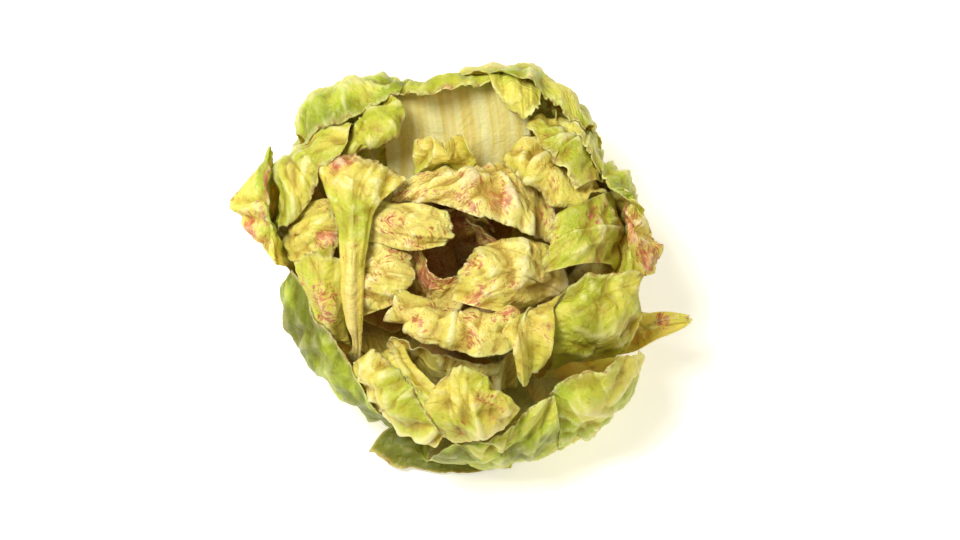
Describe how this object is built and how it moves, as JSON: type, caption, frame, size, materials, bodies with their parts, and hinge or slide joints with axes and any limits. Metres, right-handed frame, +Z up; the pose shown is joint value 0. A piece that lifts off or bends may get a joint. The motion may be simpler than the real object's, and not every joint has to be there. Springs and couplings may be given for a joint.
{
  "type": "radicchio",
  "caption": "Loose round head of pale, red-flecked leaves laid over each other round a small folded heart, standing on its flat cut stump.",
  "frame": {"origin": "middle of the flat cut face under the stump", "axes": "+Z up through the heart, -Y towards the side that the picture shows nearest, +X to the picture's right"},
  "size_m": [0.2207, 0.1987, 0.1067],
  "materials": {
    "stump": "moist cut stem, cream with a browned cut face",
    "heart_leaf": "thin pale yellow leaf with wine-red flecks and streaks, soft satin",
    "wrapper_leaf": "thin yellow-green crumpled leaf with scattered red flecks, soft satin",
    "outer_leaf": "thin green-yellow crumpled leaf with a white midrib, soft satin"
  },
  "bodies": {
    "root": {"stump": "stump", "heart_leaf_1": "heart_leaf", "heart_leaf_2": "heart_leaf", "heart_leaf_3": "heart_leaf", "heart_leaf_4": "heart_leaf", "heart_leaf_5": "heart_leaf", "heart_leaf_6": "heart_leaf", "heart_leaf_7": "heart_leaf", "heart_leaf_8": "heart_leaf", "heart_leaf_9": "heart_leaf", "wrapper_leaf_1": "wrapper_leaf", "wrapper_leaf_2": "wrapper_leaf", "wrapper_leaf_3": "wrapper_leaf", "wrapper_leaf_4": "wrapper_leaf", "wrapper_leaf_5": "wrapper_leaf", "wrapper_leaf_6": "wrapper_leaf", "wrapper_leaf_7": "wrapper_leaf", "wrapper_leaf_8": "wrapper_leaf", "wrapper_leaf_9": "wrapper_leaf", "wrapper_leaf_10": "wrapper_leaf", "wrapper_leaf_11": "wrapper_leaf", "wrapper_leaf_12": "wrapper_leaf", "wrapper_leaf_13": "wrapper_leaf", "wrapper_leaf_14": "wrapper_leaf", "wrapper_leaf_15": "wrapper_leaf", "outer_leaf_1": "outer_leaf", "outer_leaf_2": "outer_leaf", "outer_leaf_3": "outer_leaf", "outer_leaf_4": "outer_leaf", "outer_leaf_5": "outer_leaf", "outer_leaf_6": "outer_leaf", "outer_leaf_7": "outer_leaf", "outer_leaf_8": "outer_leaf", "outer_leaf_9": "outer_leaf", "outer_leaf_10": "outer_leaf", "outer_leaf_11": "outer_leaf", "outer_leaf_12": "outer_leaf"}
  },
  "joints": []
}
